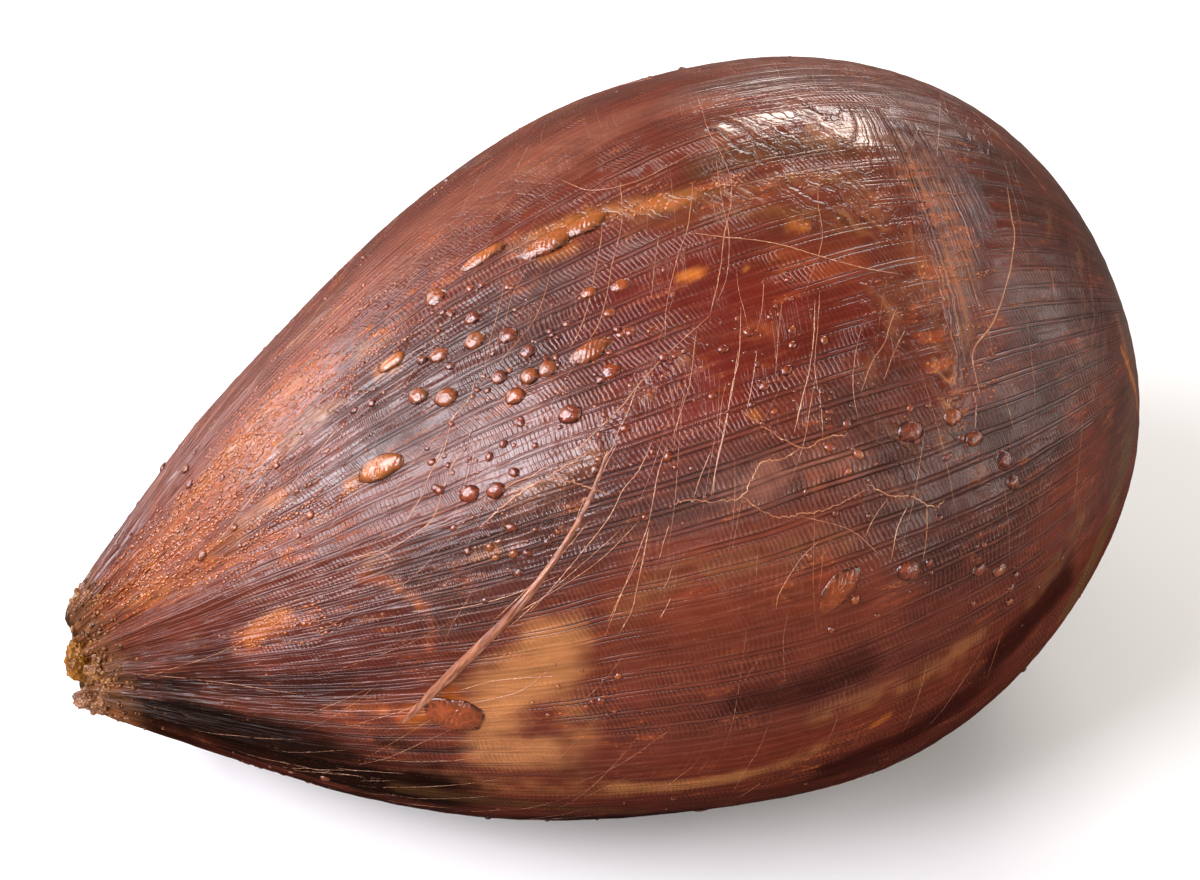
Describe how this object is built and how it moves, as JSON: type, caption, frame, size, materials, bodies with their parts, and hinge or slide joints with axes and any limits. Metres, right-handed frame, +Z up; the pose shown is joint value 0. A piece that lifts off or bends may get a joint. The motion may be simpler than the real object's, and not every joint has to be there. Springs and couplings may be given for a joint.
{
  "type": "baked ham",
  "caption": "Boneless teardrop ham, smoked and baked whole, with gathered shank end, round butt, blistered glossy skin and a flattened belly to rest on.",
  "frame": {"origin": "on the resting plane, below the middle of the ham's bounding box", "axes": "+X along the ham from the gathered shank end to the round butt, +Z up as it lies"},
  "size_m": [0.2945, 0.2063, 0.1705],
  "materials": {
    "cured_skin": "glossy dark mahogany smoked skin with stocking marks"
  },
  "bodies": {
    "root": {"ham": "cured_skin"}
  },
  "joints": []
}
